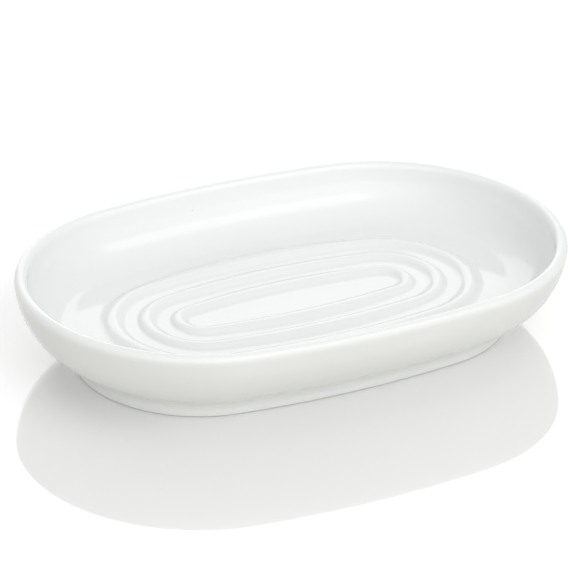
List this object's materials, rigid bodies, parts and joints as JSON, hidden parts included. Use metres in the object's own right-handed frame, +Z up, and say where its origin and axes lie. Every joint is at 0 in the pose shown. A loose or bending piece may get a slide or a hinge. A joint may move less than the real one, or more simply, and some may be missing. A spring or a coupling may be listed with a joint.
{
  "type": "soap dish",
  "caption": "Oval one-piece glazed soap dish: low bowl with a rounded rim, a foot ring underneath and raised oval ridges that keep the soap off the floor.",
  "frame": {"origin": "centre of the oval, on the plane of the face that the foot ring stands on", "axes": "+X along the length of the oval, +Y across it, +Z up out of the bowl"},
  "size_m": [0.14, 0.091, 0.023],
  "materials": {
    "glaze": "glossy white glaze"
  },
  "bodies": {
    "root": {"dish": "glaze"}
  },
  "joints": []
}
